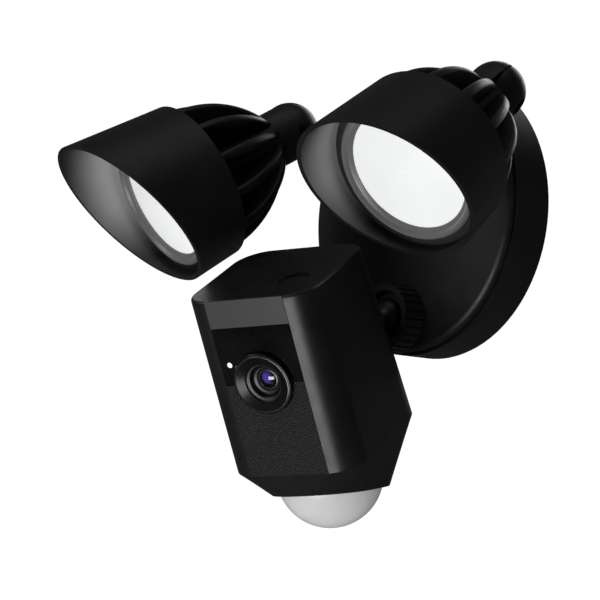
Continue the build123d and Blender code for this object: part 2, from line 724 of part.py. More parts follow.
def make_light(side, arm_turn, aim_turn):
    """One floodlight with its arm and turret; side is +1 for the right one and -1 for the left."""
    name = "right" if side > 0 else "left"
    arm = direction(*arm_turn)
    aim = direction(*aim_turn)
    arm = Vector(arm.X * side, arm.Y, arm.Z)
    aim = Vector(aim.X * side, aim.Y, aim.Z)
    elbow = Vector(elbow_at[0] * side, -cover_front - elbow_out, elbow_at[1])
    knuckle = elbow + arm * arm_reach
    lens = knuckle + aim * knuckle_back
    across = Vector(-aim.Y, aim.X, 0).normalized()
    bolt_way = arm.cross(aim).normalized()
    if bolt_way.X * side < 0:
        bolt_way = bolt_way * -1
    pin_way = arm.cross(Vector(0, -1, 0)).normalized()

    def along(distance):
        """A plane across the light, in front of the lens for a positive distance."""
        return Plane(origin=lens + aim * distance, x_dir=across, z_dir=aim)

    def knuckle_at(distance):
        """A plane across the knuckle bolt, outboard of the joint for a positive distance."""
        return Plane(origin=knuckle + bolt_way * distance, x_dir=aim, z_dir=bolt_way)

    section = Plane(origin=lens, x_dir=across, z_dir=across.cross(aim))
    turning = Axis(lens, aim)

    # shade: a flared tube with a floor for the lens, cut on a slant into a visor
    inner = shade_wall
    with BuildPart() as shade:
        with BuildSketch(section):
            with BuildLine():
                Polyline((shade_outer(-shade_back), -shade_back), (shade_outer(visor_top + 4), visor_top + 4),
                         (shade_outer(visor_top + 4) - inner, visor_top + 4),
                         (shade_outer(floor_front) - inner, floor_front),
                         (lens_flange_r - 1.6, floor_front), (lens_flange_r - 1.6, floor_front - 1.2),
                         (lens_flange_r + seat_gap, floor_front - 1.2),
                         (lens_flange_r + seat_gap, floor_front - floor_t),
                         (shade_outer(-shade_back) - inner, floor_front - floor_t),
                         (shade_outer(-shade_back) - inner, -shade_back), close=True)
            make_face()
        revolve(axis=turning)
        rim_r = shade_outer(visor_top)
        slant = degrees(atan2(visor_top - visor_bottom, 2 * rim_r))
        middle = lens + aim * ((visor_top + visor_bottom) / 2)
        up = aim.cross(across)
        cut_normal = aim * cos(radians(slant)) - up * sin(radians(slant))
        split(bisect_by=Plane(origin=middle, x_dir=across, z_dir=cut_normal), keep=Keep.BOTTOM)
    save(shade, f"{name}_shade")

    lens_back = floor_front - floor_t
    with BuildPart() as lamp_lens:
        with BuildSketch(section):
            with BuildLine():
                half = lens_r / 2
                a1 = ThreePointArc((lens_r, floor_front), (half, floor_front + crown(lens_r, lens_crown, half)),
                                   (0, floor_front + lens_crown))
                a2 = Line(a1 @ 1, (0, lens_back + lens_crown))
                a3 = ThreePointArc(a2 @ 1, (half, lens_back + crown(lens_r - 2, lens_crown, half)),
                                   (lens_r - 2, lens_back))
                Polyline(a3 @ 1, (lens_flange_r, lens_back), (lens_flange_r, floor_front - 1.2),
                         (lens_r, floor_front - 1.2), (lens_r, floor_front))
            make_face()
        revolve(axis=turning)
    save(lamp_lens, f"{name}_lens")

    with BuildPart() as lens_ring:
        with BuildSketch(section):
            with BuildLine():
                Polyline((lens_r + seat_gap, floor_front), (bezel_ring_r, floor_front),
                         (bezel_ring_r, floor_front + bezel_ring_t - 1), (bezel_ring_r - 1, floor_front + bezel_ring_t),
                         (bezel_ring_r - 2.4, floor_front + bezel_ring_t), (bezel_ring_r - 3.4, floor_front + 1.8),
                         (lens_r + 1, floor_front + 1.2), (lens_r + seat_gap, floor_front + 0.6), close=True)
            make_face()
        revolve(axis=turning)
    save(lens_ring, f"{name}_lens_ring")

    with BuildPart() as lens_seal:
        with BuildSketch(along(lens_back)):
            Circle(lens_flange_r)
            Circle(lens_flange_r - 3, mode=Mode.SUBTRACT)
        extrude(amount=-1.2)
    save(lens_seal, f"{name}_lens_seal")

    # board with a grid of emitters, on the front of the heat sink
    with BuildPart() as led_board:
        with BuildSketch(along(flange_front)):
            Circle(lamp_board_r)
        extrude(amount=lamp_board_t)
        with BuildSketch(along(flange_front + lamp_board_t)):
            with PolarLocations(8, 4):
                RectangleRounded(5, 5, 0.6)
            with PolarLocations(19, 8):
                RectangleRounded(5, 5, 0.6)
        extrude(amount=0.9)
    save(led_board, f"{name}_led_board")

    # heat sink: flange, tapering core and curved fins that die into the neck
    with BuildPart() as heat_sink:
        with BuildSketch(along(flange_front)):
            Circle(shade_outer(-shade_back) - shade_wall - seat_gap)
        extrude(amount=-flange_t)
        with BuildSketch(section):
            with BuildLine():
                Polyline((0, flange_back), (fin_core_r, flange_back), (neck_r, -fin_back), (0, -fin_back), close=True)
            make_face()
        revolve(axis=turning)
        with Locations(along(0)):
            with PolarLocations(0, fin_count, start_angle=180 / fin_count):
                add(fin.part)
        with BuildSketch(along(-fin_back)):
            Circle(neck_spigot_r + seat_gap)
        extrude(amount=neck_spigot, mode=Mode.SUBTRACT)
    save(heat_sink, f"{name}_heat_sink")

    neck_length = knuckle_back - fin_back
    # neck: a tube with a spigot and the inboard half of the round knuckle
    with BuildPart() as neck:
        with BuildSketch(along(-fin_back)):
            Circle(neck_r)
        extrude(amount=fin_back - knuckle_back)
        with BuildSketch(along(-fin_back)):
            Circle(neck_spigot_r)
        extrude(amount=neck_spigot - 1)
        add(Location(knuckle) * Sphere(neck_r, mode=Mode.PRIVATE))
        with BuildSketch(knuckle_at(-knuckle_split)):
            Circle(neck_r + turn_gap)
            with Locations(((neck_length - neck_flange_t) / 2, 0)):
                Rectangle(neck_length - neck_flange_t, 2 * neck_r + 1)
        extrude(amount=2 * neck_r, mode=Mode.SUBTRACT)
        with BuildSketch(knuckle_at(-neck_r)):
            Circle(bolt_r)
        extrude(amount=neck_r, mode=Mode.SUBTRACT)
    save(neck, f"{name}_neck")

    with BuildPart() as washer:
        with BuildSketch(knuckle_at(-knuckle_split)):
            Circle(washer_r)
            Circle(bolt_r, mode=Mode.SUBTRACT)
        extrude(amount=2 * knuckle_split - 0.1)
    save(washer, f"{name}_friction_washer")

    head_seat = neck_r * 0.6
    arm_clear_r = sqrt(neck_length ** 2 + neck_r ** 2) + turn_gap
    with BuildPart() as knuckle_bolt:
        with BuildSketch(knuckle_at(-neck_r + 3)):
            Circle(bolt_r)
        extrude(amount=neck_r - 3 + head_seat)
        with BuildSketch(knuckle_at(head_seat)):
            Circle(bolt_head_r)
        extrude(amount=bolt_head_t)
        with BuildSketch(knuckle_at(head_seat + bolt_head_t)):
            RegularPolygon(2.2, 6)
        extrude(amount=-2.2, mode=Mode.SUBTRACT)
    save(knuckle_bolt, f"{name}_knuckle_bolt")

    # arm: the outboard half of the knuckle, a tapering leg and the eye on its pin
    leg = Plane(origin=elbow, x_dir=pin_way, z_dir=arm)
    eye = Plane(origin=elbow - pin_way * (arm_eye_t / 2), x_dir=arm, z_dir=pin_way)
    with BuildPart() as light_arm:
        with BuildSketch(leg):
            Circle(arm_thin_r)
        extrude(amount=ear_r + turn_gap)
        with BuildSketch(leg.offset(ear_r + turn_gap)):
            Circle(arm_thin_r)
        with BuildSketch(leg.offset(arm_reach)):
            Circle(arm_thick_r)
        loft()
        add(Location(knuckle) * Sphere(neck_r, mode=Mode.PRIVATE))
        with BuildSketch(knuckle_at(knuckle_split)):
            Circle(arm_clear_r)
        extrude(amount=-2 * neck_r, mode=Mode.SUBTRACT)
        with BuildSketch(eye):
            Circle(arm_eye_r)
        extrude(amount=arm_eye_t)
        with BuildSketch(eye):
            Circle(pin_r + shaft_gap)
        extrude(amount=arm_eye_t, mode=Mode.SUBTRACT)
        with BuildSketch(knuckle_at(0)):
            Circle(bolt_r + shaft_gap)
        extrude(amount=neck_r, mode=Mode.SUBTRACT)
        with BuildSketch(knuckle_at(head_seat - 0.2)):
            Circle(bolt_head_r + turn_gap)
        extrude(amount=neck_r, mode=Mode.SUBTRACT)
    save(light_arm, f"{name}_arm")

    # turret: a ribbed disc on the cover with two ears, a spindle through the cover and its nut
    turret_back = cover_front + turret_foot_gap

    def turret_at(distance):
        """A plane parallel to the wall, centred on the turret."""
        return Plane(origin=(elbow.X, -distance, elbow.Z), x_dir=(pin_way.X, 0, pin_way.Z), z_dir=(0, -1, 0))

    ear_in = arm_eye_t / 2 + turn_gap
    with BuildPart() as turret:
        with BuildSketch(turret_at(turret_back)):
            Circle(turret_r)
            with PolarLocations(turret_r, turret_ribs):
                Circle(0.55, mode=Mode.SUBTRACT)
        extrude(amount=turret_t)
        for sign in (-1, 1):
            start = elbow + pin_way * (sign * ear_in)
            with BuildSketch(Plane(origin=start, x_dir=(0, -1, 0), z_dir=pin_way * sign)):
                Circle(ear_r)
                with Locations((-(elbow_out - turret_t) / 2, 0)):
                    Rectangle(elbow_out - turret_t, 2 * ear_r)
            extrude(amount=ear_t)
        with BuildSketch(turret_at(turret_back)):
            Circle(spindle_r)
        extrude(amount=-(cover_wall + turret_foot_gap + nut_t))
        with BuildSketch(turret_at(turret_back + turret_t)):
            Circle(spindle_bore)
        extrude(amount=-(cover_wall + turret_foot_gap + nut_t + turret_t), mode=Mode.SUBTRACT)
        with BuildSketch(Plane(origin=elbow - pin_way * (ear_in + ear_t), x_dir=(0, -1, 0), z_dir=pin_way)):
            Circle(pin_r)
        extrude(amount=2 * (ear_in + ear_t), mode=Mode.SUBTRACT)
    save(turret, f"{name}_turret")

    with BuildPart() as arm_pin:
        with BuildSketch(Plane(origin=elbow - pin_way * (ear_in + ear_t), x_dir=(0, -1, 0), z_dir=pin_way)):
            Circle(pin_r)
        extrude(amount=2 * (ear_in + ear_t))
    save(arm_pin, f"{name}_arm_pin")

    with BuildPart() as turret_nut:
        with BuildSketch(turret_at(cover_front - cover_wall - turn_gap)):
            RegularPolygon(nut_r, 6)
            Circle(spindle_r, mode=Mode.SUBTRACT)
        extrude(amount=-(nut_t - turn_gap))
    save(turret_nut, f"{name}_turret_nut")


make_light(1, right_arm, right_aim)
make_light(-1, left_arm, left_aim)
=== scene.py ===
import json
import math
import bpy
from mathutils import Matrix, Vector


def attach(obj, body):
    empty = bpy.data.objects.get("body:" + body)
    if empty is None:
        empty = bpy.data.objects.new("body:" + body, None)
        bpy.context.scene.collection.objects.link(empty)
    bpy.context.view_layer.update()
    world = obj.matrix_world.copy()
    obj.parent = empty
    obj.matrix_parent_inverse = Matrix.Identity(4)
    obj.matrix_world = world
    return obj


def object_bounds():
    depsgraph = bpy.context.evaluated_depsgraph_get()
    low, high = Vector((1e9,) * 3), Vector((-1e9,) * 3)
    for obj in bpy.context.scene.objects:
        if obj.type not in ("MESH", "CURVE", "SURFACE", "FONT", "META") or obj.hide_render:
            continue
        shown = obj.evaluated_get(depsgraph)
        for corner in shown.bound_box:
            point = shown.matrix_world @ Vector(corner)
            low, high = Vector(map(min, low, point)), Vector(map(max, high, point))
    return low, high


bl_info = {
    "name": "Floodlight Camera Look",
    "version": (1, 0, 0),
    "blender": (4, 5, 0),
    "location": "View3D > Sidebar > Floodlight",
    "description": "Finishes, fine details and a studio for a wall-mounted floodlight camera",
    "category": "Object",
}

import bmesh
import bpy
from mathutils import Matrix, Vector

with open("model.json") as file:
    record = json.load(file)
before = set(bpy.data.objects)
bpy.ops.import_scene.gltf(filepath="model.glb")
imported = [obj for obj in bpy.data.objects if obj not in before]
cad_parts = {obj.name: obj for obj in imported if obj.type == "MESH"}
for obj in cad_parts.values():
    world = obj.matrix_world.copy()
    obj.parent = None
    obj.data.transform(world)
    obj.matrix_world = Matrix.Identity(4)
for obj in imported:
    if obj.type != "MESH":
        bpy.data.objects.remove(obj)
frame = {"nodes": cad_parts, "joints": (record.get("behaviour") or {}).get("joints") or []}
CAD_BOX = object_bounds()
NODES = frame["nodes"]

FACING_FORWARD = 0.9  # least share of a face's normal that points forward, on the front of the window
SHARP_EDGE = math.radians(35)
CORNER_SHARE = 0.45  # rounding of a ring's corner, as a share of its thinner side
NOISE_RANGE = (0.3, 0.7)  # where nearly all of a noise texture's values lie
HOLE_BLUR = 0.06  # softness of a sound hole's edge, as a share of the pitch
# painted light: emission strength that keeps each diffuser bright white inside its shade's shadow
PAINTED_DIFFUSER_LIGHT = 0.46
# painted light: emission strength that brightens the sensor dome, which is no lamp
PAINTED_DOME_LIGHT = 0.16
# painted light: emission strength that makes the light sensor glow
PAINTED_SENSOR_GLOW = 0.55
SENSOR_WIDTH = 36  # of the camera, in millimetres
FLOOR_REACH = 14.0  # from the middle to each side of the floor
FLOOR_GREY = 0.7
BACKDROP_STRENGTH = 1.05  # of the world, as the camera sees it
FILL_STRENGTH = 0.05  # of the world, as it lights the part
LAMPS = (  # name, place, width and height, power in watts
    ("key_softbox", (-0.6, -1.5, 0.7), (0.9, 0.7), 7),
    ("top_softbox", (0.2, -0.3, 1.4), (1.4, 1.0), 1.5),
    ("low_softbox", (0.3, -0.95, -0.85), (0.95, 0.5), 9),
    ("rear_softbox", (-0.6, 1.3, 0.7), (1.0, 0.8), 8),
)
LAMP_TARGET = Vector((0.0, -0.08, -0.04))
CAMERA_PLACE = Vector((1.0702, -1.0157, -0.1449))
CAMERA_AHEAD = Vector((-0.7574, 0.6497, 0.0648))
CAMERA_UP = Vector((0, -0.0992, 0.9951))


# ---------------------------------------------------------------- where the parts stand
def joint(name):
    return next(j for j in frame["joints"] if j["name"] == name)


def mesh_points(node):
    return [v.co.copy() for v in NODES[node].data.vertices]


def middle(points):
    return sum(points, Vector()) / len(points)


def head_axes():
    """Right, back and up of the camera head, from its button's axis and its window's flat front."""
    up = -Vector(joint("setup_button_press")["axis"]).normalized()
    inward = middle(mesh_points("main_board")) - middle(mesh_points("window_panel"))
    back = (inward - up * inward.dot(up)).normalized()
    front = [face for face in NODES["window_panel"].data.polygons if face.normal.dot(-back) > FACING_FORWARD]
    back = -max(front, key=lambda face: face.area).normal
    right = back.cross(up).normalized()
    return right, back, up


def light_axes(side):
    """Middle of the diffuser's crown and the direction that a light looks."""
    ring = middle(mesh_points(f"{side}_lens_ring"))
    board = middle(mesh_points(f"{side}_led_board"))
    return ring, (ring - board).normalized()


def turned_size(node, centre, axis):
    """Largest radius of a turned node about an axis, and how far it reaches along it."""
    reach = [point - centre for point in mesh_points(node)]
    radius = max((point - axis * point.dot(axis)).length for point in reach)
    return radius, max(point.dot(axis) for point in reach)


# ---------------------------------------------------------------- values a user may change
def colour(name, description, default):
    return bpy.props.FloatVectorProperty(
        name=name, description=description, subtype="COLOR", size=4, min=0, max=1, default=default
    )


def length(name, description, default):
    return bpy.props.FloatProperty(name=name, description=description, default=default, unit="LENGTH")


def share(name, description, default):
    return bpy.props.FloatProperty(
        name=name, description=description, default=default, min=0, max=1, subtype="FACTOR"
    )


class FinishSettings(bpy.types.PropertyGroup):
    case_colour: colour("Moulding", "Satin moulded plastic of the case and base", (0.0055, 0.0055, 0.0058, 1))
    case_roughness: share("Moulding roughness", "How dull the moulded plastic is", 0.42)
    grille_colour: colour("Grille", "Perforated face under the lens", (0.022, 0.022, 0.023, 1))
    window_colour: colour("Window", "Gloss panel round the camera lens", (0.0008, 0.0008, 0.001, 1))
    metal_colour: colour("Anodised metal", "Heat sinks, necks and arms", (0.011, 0.011, 0.012, 1))
    # painted light: pale colour on the inner wall of each shade, standing in for light falling into the hood
    painted_glow_colour: colour("Painted glow in the shades", "Painted glow near each diffuser", (0.55, 0.55, 0.55, 1))
    ring_colour: colour("Lens rings", "Ring round each diffuser", (0.16, 0.16, 0.16, 1))
    # partly painted sheen: the band's own dark tone, made lighter than the case to stand in for the sheen it
    # shows
    painted_band_sheen_colour: colour("Face plate", "Band over the window", (0.02, 0.02, 0.021, 1))
    diffuser_colour: colour("Diffuser", "Frosted lens of each light", (0.86, 0.87, 0.87, 1))
    dome_colour: colour("Sensor dome", "Milky dome under the camera", (0.80, 0.81, 0.80, 1))
    # painted reflection: violet colour of a glint painted on the camera lens glass
    painted_reflection_colour: colour("Painted lens reflection", "Violet reflection of the camera lens", (0.10, 0.07, 0.45, 1))


class DetailSettings(bpy.types.PropertyGroup):
    hole_pitch: length("Hole pitch", "Distance between the speaker's sound holes", 0.0016)
    grain_size: length("Grain size", "Size of the moulded texture", 0.0006)
    trim_height: length("Trim height", "How far thin trim rings stand out", 0.0003)


class StageSettings(bpy.types.PropertyGroup):
    floor_drop: length("Floor drop", "How far the floor lies under the part", 1.3)
    lens: bpy.props.FloatProperty(
        name="Camera lens", description="Focal length in millimetres", default=168, min=20
    )


# ---------------------------------------------------------------- shader node groups
def new_group(name, inputs, outputs):
    group = bpy.data.node_groups.new(name, "ShaderNodeTree")
    for label, kind, default in inputs:
        socket = group.interface.new_socket(name=label, in_out="INPUT", socket_type=kind)
        socket.default_value = default
    for label, kind in outputs:
        group.interface.new_socket(name=label, in_out="OUTPUT", socket_type=kind)
    start = group.nodes.new("NodeGroupInput")
    end = group.nodes.new("NodeGroupOutput")
    return group, start, end


def math_node(tree, operation, a, b=None, clamp=False):
    node = tree.nodes.new("ShaderNodeMath")
    node.operation = operation
    node.use_clamp = clamp
    for index, value in enumerate((a, b)):
        if value is None:
            continue
        if hasattr(value, "is_linked"):
            tree.links.new(value, node.inputs[index])
        else:
            node.inputs[index].default_value = value
    return node.outputs[0]


def mix_colour(tree, factor, a, b):
    node = tree.nodes.new("ShaderNodeMix")
    node.data_type = "RGBA"
    for socket, value in ((node.inputs[0], factor), (node.inputs[6], a), (node.inputs[7], b)):
        if hasattr(value, "is_linked"):
            tree.links.new(value, socket)
        else:
            socket.default_value = value
    return node.outputs[2]


def noise(tree, scale, detail=3.0, vector=None):
    node = tree.nodes.new("ShaderNodeTexNoise")
    node.inputs["Detail"].default_value = detail
    if hasattr(scale, "is_linked"):
        tree.links.new(scale, node.inputs["Scale"])
    else:
        node.inputs["Scale"].default_value = scale
    if vector is None:
        vector = tree.nodes.new("ShaderNodeTexCoord").outputs["Object"]
    tree.links.new(vector, node.inputs["Vector"])
    return node.outputs["Fac"]


def spread(tree, value, low, high):
    """A noise value stretched to run from low to high."""
    node = tree.nodes.new("ShaderNodeMapRange")
    node.inputs["From Min"].default_value, node.inputs["From Max"].default_value = NOISE_RANGE
    for label, limit in (("To Min", low), ("To Max", high)):
        if hasattr(limit, "is_linked"):
            tree.links.new(limit, node.inputs[label])
        else:
            node.inputs[label].default_value = limit
    tree.links.new(value, node.inputs["Value"])
    return node.outputs["Result"]


def build_moulded():
    """Moulded surface: faint mottling in colour, cloudy gloss, a fine grain height and settled dust."""
    group, start, end = new_group(
        "Moulded surface",
        (
            ("Color", "NodeSocketColor", (0.01, 0.01, 0.01, 1)),
            ("Roughness", "NodeSocketFloat", 0.4),
            ("Cloudiness", "NodeSocketFloat", 0.06),
            ("Grain Scale", "NodeSocketFloat", 1500.0),
            ("Dust", "NodeSocketFloat", 0.02),
        ),
        (("Color", "NodeSocketColor"), ("Roughness", "NodeSocketFloat"), ("Height", "NodeSocketFloat")),
    )
    clouds = noise(group, 38.0, 4.0)
    rub = noise(group, 160.0, 5.0)
    grain = noise(group, start.outputs["Grain Scale"], 2.0)
    lighter = mix_colour(group, 0.16, start.outputs["Color"], (0.12, 0.12, 0.125, 1))
    base = mix_colour(group, spread(group, clouds, 0.0, 0.35), start.outputs["Color"], lighter)
    shape = group.nodes.new("ShaderNodeNewGeometry")
    parts = group.nodes.new("ShaderNodeSeparateXYZ")
    group.links.new(shape.outputs["Normal"], parts.inputs[0])
    upward = math_node(group, "POWER", math_node(group, "MAXIMUM", parts.outputs["Z"], 0.0), 3.0)
    specks = math_node(group, "MULTIPLY", upward, spread(group, rub, 0.0, 1.0), True)
    dust = math_node(group, "MULTIPLY", specks, start.outputs["Dust"], True)
    group.links.new(mix_colour(group, dust, base, (0.32, 0.31, 0.29, 1)), end.inputs["Color"])
    swing = math_node(group, "MULTIPLY", math_node(group, "SUBTRACT", rub, 0.5), start.outputs["Cloudiness"])
    swing = math_node(group, "MULTIPLY", swing, 4.0)
    rough = math_node(group, "ADD", start.outputs["Roughness"], swing)
    group.links.new(math_node(group, "ADD", rough, dust, True), end.inputs["Roughness"])
    group.links.new(grain, end.inputs["Height"])
    return group


def build_brushed():
    """Plain metal: fine streaks along Y, with a little tarnish."""
    group, start, end = new_group(
        "Worked metal",
        (
            ("Color", "NodeSocketColor", (0.5, 0.5, 0.5, 1)),
            ("Roughness", "NodeSocketFloat", 0.35),
            ("Streak Scale", "NodeSocketFloat", 900.0),
        ),
        (("Color", "NodeSocketColor"), ("Roughness", "NodeSocketFloat"), ("Height", "NodeSocketFloat")),
    )
    coords = group.nodes.new("ShaderNodeTexCoord")
    stretch = group.nodes.new("ShaderNodeMapping")
    stretch.inputs["Scale"].default_value = (1.0, 0.06, 1.0)
    group.links.new(coords.outputs["Object"], stretch.inputs["Vector"])
    streaks = noise(group, start.outputs["Streak Scale"], 3.0, stretch.outputs["Vector"])
    tarnish = noise(group, 120.0, 4.0)
    darker = mix_colour(group, 0.55, start.outputs["Color"], (0.05, 0.045, 0.04, 1))
    group.links.new(
        mix_colour(group, spread(group, tarnish, 0.0, 0.5), start.outputs["Color"], darker), end.inputs["Color"]
    )
    swing = spread(group, streaks, -0.08, 0.1)
    group.links.new(math_node(group, "ADD", start.outputs["Roughness"], swing, True), end.inputs["Roughness"])
    group.links.new(streaks, end.inputs["Height"])
    return group


def build_sound_holes():
    """Staggered round holes over a plane through the origin, as a mask and a height."""
    group, start, end = new_group(
        "Sound holes",
        (
            ("Vector", "NodeSocketVector", (0, 0, 0)),
            ("Pitch", "NodeSocketFloat", 0.001),
            ("Size", "NodeSocketFloat", 0.33),
        ),
        (("Mask", "NodeSocketFloat"), ("Height", "NodeSocketFloat")),
    )
    parts = group.nodes.new("ShaderNodeSeparateXYZ")
    group.links.new(start.outputs["Vector"], parts.inputs[0])
    u = math_node(group, "DIVIDE", parts.outputs["X"], start.outputs["Pitch"])
    v = math_node(group, "DIVIDE", parts.outputs["Y"], start.outputs["Pitch"])

    def cell(offset):
        du = math_node(group, "SUBTRACT", math_node(group, "FRACT", math_node(group, "ADD", u, offset)), 0.5)
        dv = math_node(group, "SUBTRACT", math_node(group, "FRACT", math_node(group, "ADD", v, offset)), 0.5)
        across = math_node(group, "MULTIPLY", du, du)
        square = math_node(group, "ADD", across, math_node(group, "MULTIPLY", dv, dv))
        return math_node(group, "SQRT", square)

    nearest = math_node(group, "MINIMUM", cell(0.0), cell(0.5))
    ramp = group.nodes.new("ShaderNodeMapRange")
    ramp.interpolation_type = "SMOOTHSTEP"
    group.links.new(nearest, ramp.inputs["Value"])
    group.links.new(math_node(group, "SUBTRACT", start.outputs["Size"], HOLE_BLUR), ramp.inputs["From Min"])
    group.links.new(math_node(group, "ADD", start.outputs["Size"], HOLE_BLUR), ramp.inputs["From Max"])
    ramp.inputs["To Min"].default_value = 1.0
    ramp.inputs["To Max"].default_value = 0.0
    group.links.new(ramp.outputs["Result"], end.inputs["Mask"])
    group.links.new(math_node(group, "SUBTRACT", 1.0, ramp.outputs["Result"]), end.inputs["Height"])
    return group


def build_rings():
    """Concentric waves about Z, as a height and a distance from it."""
    group, start, end = new_group(
        "Concentric waves",
        (("Vector", "NodeSocketVector", (0, 0, 0)), ("Pitch", "NodeSocketFloat", 0.002)),
        (("Height", "NodeSocketFloat"), ("Distance", "NodeSocketFloat")),
    )
    size = group.nodes.new("ShaderNodeVectorMath")
    size.operation = "LENGTH"
    flat = group.nodes.new("ShaderNodeVectorMath")
    flat.operation = "MULTIPLY"
    flat.inputs[1].default_value = (1, 1, 0)
    group.links.new(start.outputs["Vector"], flat.inputs[0])
    group.links.new(flat.outputs[0], size.inputs[0])
    turns = math_node(group, "DIVIDE", size.outputs["Value"], start.outputs["Pitch"])
    wave = math_node(group, "SINE", math_node(group, "MULTIPLY", turns, 2 * math.pi))
    group.links.new(wave, end.inputs["Height"])
    group.links.new(size.outputs["Value"], end.inputs["Distance"])
    return group


def build_painted_inside():
    """Mask of painted light on a tube's inner wall about Z: full low down near the origin, fading upwards and
    along Z.
    """
    wall_facing, full_below, none_above, full_behind = -0.5, -0.1, 0.75, -0.004
    group, start, end = new_group(
        "Painted glow inside a shade",
        (
            ("Vector", "NodeSocketVector", (0, 0, 0)),
            ("Facing", "NodeSocketVector", (0, 0, 1)),
            ("Reach", "NodeSocketFloat", 0.05),
        ),
        (("Mask", "NodeSocketFloat"),),
    )
    place_parts = group.nodes.new("ShaderNodeSeparateXYZ")
    group.links.new(start.outputs["Vector"], place_parts.inputs[0])
    outward = group.nodes.new("ShaderNodeVectorMath")
    outward.operation = "MULTIPLY"
    outward.inputs[1].default_value = (1, 1, 0)
    group.links.new(start.outputs["Vector"], outward.inputs[0])
    unit = group.nodes.new("ShaderNodeVectorMath")
    unit.operation = "NORMALIZE"
    group.links.new(outward.outputs[0], unit.inputs[0])
    inward = group.nodes.new("ShaderNodeVectorMath")
    inward.operation = "DOT_PRODUCT"
    group.links.new(unit.outputs[0], inward.inputs[0])
    group.links.new(start.outputs["Facing"], inward.inputs[1])
    facing = math_node(group, "LESS_THAN", inward.outputs["Value"], wall_facing)
    height = group.nodes.new("ShaderNodeSeparateXYZ")
    group.links.new(unit.outputs[0], height.inputs[0])
    low = group.nodes.new("ShaderNodeMapRange")
    low.interpolation_type = "SMOOTHSTEP"
    low.inputs["From Min"].default_value = none_above
    low.inputs["From Max"].default_value = full_below
    group.links.new(height.outputs["Y"], low.inputs["Value"])
    fade = group.nodes.new("ShaderNodeMapRange")
    fade.interpolation_type = "SMOOTHSTEP"
    group.links.new(place_parts.outputs["Z"], fade.inputs["Value"])
    group.links.new(start.outputs["Reach"], fade.inputs["From Min"])
    fade.inputs["From Max"].default_value = full_behind
    both = math_node(group, "MULTIPLY", low.outputs["Result"], fade.outputs["Result"])
    group.links.new(math_node(group, "MULTIPLY", both, facing), end.inputs["Mask"])
    return group


GROUPS = {}


def group(name):
    builders = {
        "moulded": build_moulded,
        "metal": build_brushed,
        "holes": build_sound_holes,
        "waves": build_rings,
        "painted_inside": build_painted_inside,
    }
    if name not in GROUPS:
        GROUPS[name] = builders[name]()
    return GROUPS[name]


# ---------------------------------------------------------------- materials
def new_material(name):
    material = bpy.data.materials.new(name)
    material.use_nodes = True
    tree = material.node_tree
    return material, tree, tree.nodes["Principled BSDF"]


def place(tree, name, **values):
    node = tree.nodes.new("ShaderNodeGroup")
    node.node_tree = group(name)
    for label, value in values.items():
        node.inputs[label.replace("_", " ")].default_value = value
    return node


def add_bump(tree, shader, height, strength, distance):
    bump = tree.nodes.new("ShaderNodeBump")
    bump.inputs["Strength"].default_value = strength
    bump.inputs["Distance"].default_value = distance
    tree.links.new(height, bump.inputs["Height"])
    tree.links.new(bump.outputs["Normal"], shader.inputs["Normal"])
    return bump


def moulded(
    name,
    base,
    roughness,
    cloudiness=0.05,
    grain=0.0006,
    bump=0.12,
    dust=0.02,
    metallic=0.0,
    coat=0.0,
    specular=0.5,
):
    """Moulded or coated surface with a grain of the given size in metres."""
    material, tree, shader = new_material(name)
    node = place(tree, "moulded", Color=base, Roughness=roughness, Cloudiness=cloudiness,
                 Grain_Scale=1.0 / grain, Dust=dust)
    tree.links.new(node.outputs["Color"], shader.inputs["Base Color"])
    tree.links.new(node.outputs["Roughness"], shader.inputs["Roughness"])
    shader.inputs["Metallic"].default_value = metallic
    shader.inputs["Coat Weight"].default_value = coat
    shader.inputs["Coat Roughness"].default_value = 0.06
    shader.inputs["Specular IOR Level"].default_value = specular
    add_bump(tree, shader, node.outputs["Height"], bump, 0.00006)
    return material


def metal(name, base, roughness, scale=900.0):
    material, tree, shader = new_material(name)
    node = place(tree, "metal", Color=base, Roughness=roughness, Streak_Scale=scale)
    tree.links.new(node.outputs["Color"], shader.inputs["Base Color"])
    tree.links.new(node.outputs["Roughness"], shader.inputs["Roughness"])
    shader.inputs["Metallic"].default_value = 1.0
    add_bump(tree, shader, node.outputs["Height"], 0.1, 0.00004)
    return material


def in_plane_axes(tree, vector, x_way, y_way):
    """A vector in object space turned into a plane's own axes: X and Y along it, Z out of it."""
    join = tree.nodes.new("ShaderNodeCombineXYZ")
    for index, way in enumerate((x_way, y_way, x_way.cross(y_way))):
        dot = tree.nodes.new("ShaderNodeVectorMath")
        dot.operation = "DOT_PRODUCT"
        dot.inputs[1].default_value = way
        tree.links.new(vector, dot.inputs[0])
        tree.links.new(dot.outputs["Value"], join.inputs[index])
    return join.outputs[0]


def plane_coords(tree, origin, x_way, y_way):
    """Object coordinates from an origin, in a plane's own axes, in metres."""
    coords = tree.nodes.new("ShaderNodeTexCoord")
    shift = tree.nodes.new("ShaderNodeVectorMath")
    shift.operation = "SUBTRACT"
    shift.inputs[1].default_value = origin
    tree.links.new(coords.outputs["Object"], shift.inputs[0])
    return in_plane_axes(tree, shift.outputs[0], x_way, y_way)


